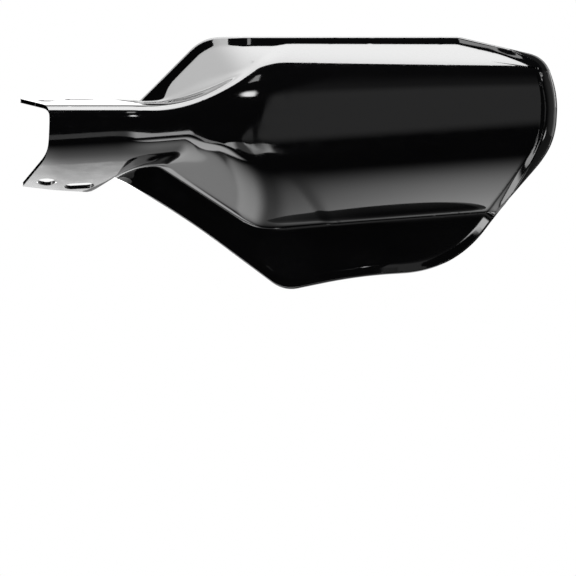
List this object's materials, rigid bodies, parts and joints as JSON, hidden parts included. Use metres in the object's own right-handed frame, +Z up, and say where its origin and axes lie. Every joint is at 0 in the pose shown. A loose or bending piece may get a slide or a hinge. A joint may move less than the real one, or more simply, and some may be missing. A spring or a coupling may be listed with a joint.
{
  "type": "motorcycle hand guard",
  "caption": "Gloss black moulded hand guard with a broad folded shield, rolled lip and a U-shaped neck whose flanges carry a bolt hole and a slot.",
  "frame": {"origin": "middle of the wall on the axis of the upper flange's round bolt hole", "axes": "+X along the neck towards the outer end of the shield, -Y towards the wind, +Z up along the upper bolt hole's axis"},
  "size_m": [0.2957, 0.0688, 0.1381],
  "materials": {
    "gloss_black_plastic": "high gloss black as it leaves a polished mould"
  },
  "bodies": {
    "root": {"guard_shell": "gloss_black_plastic"}
  },
  "joints": []
}
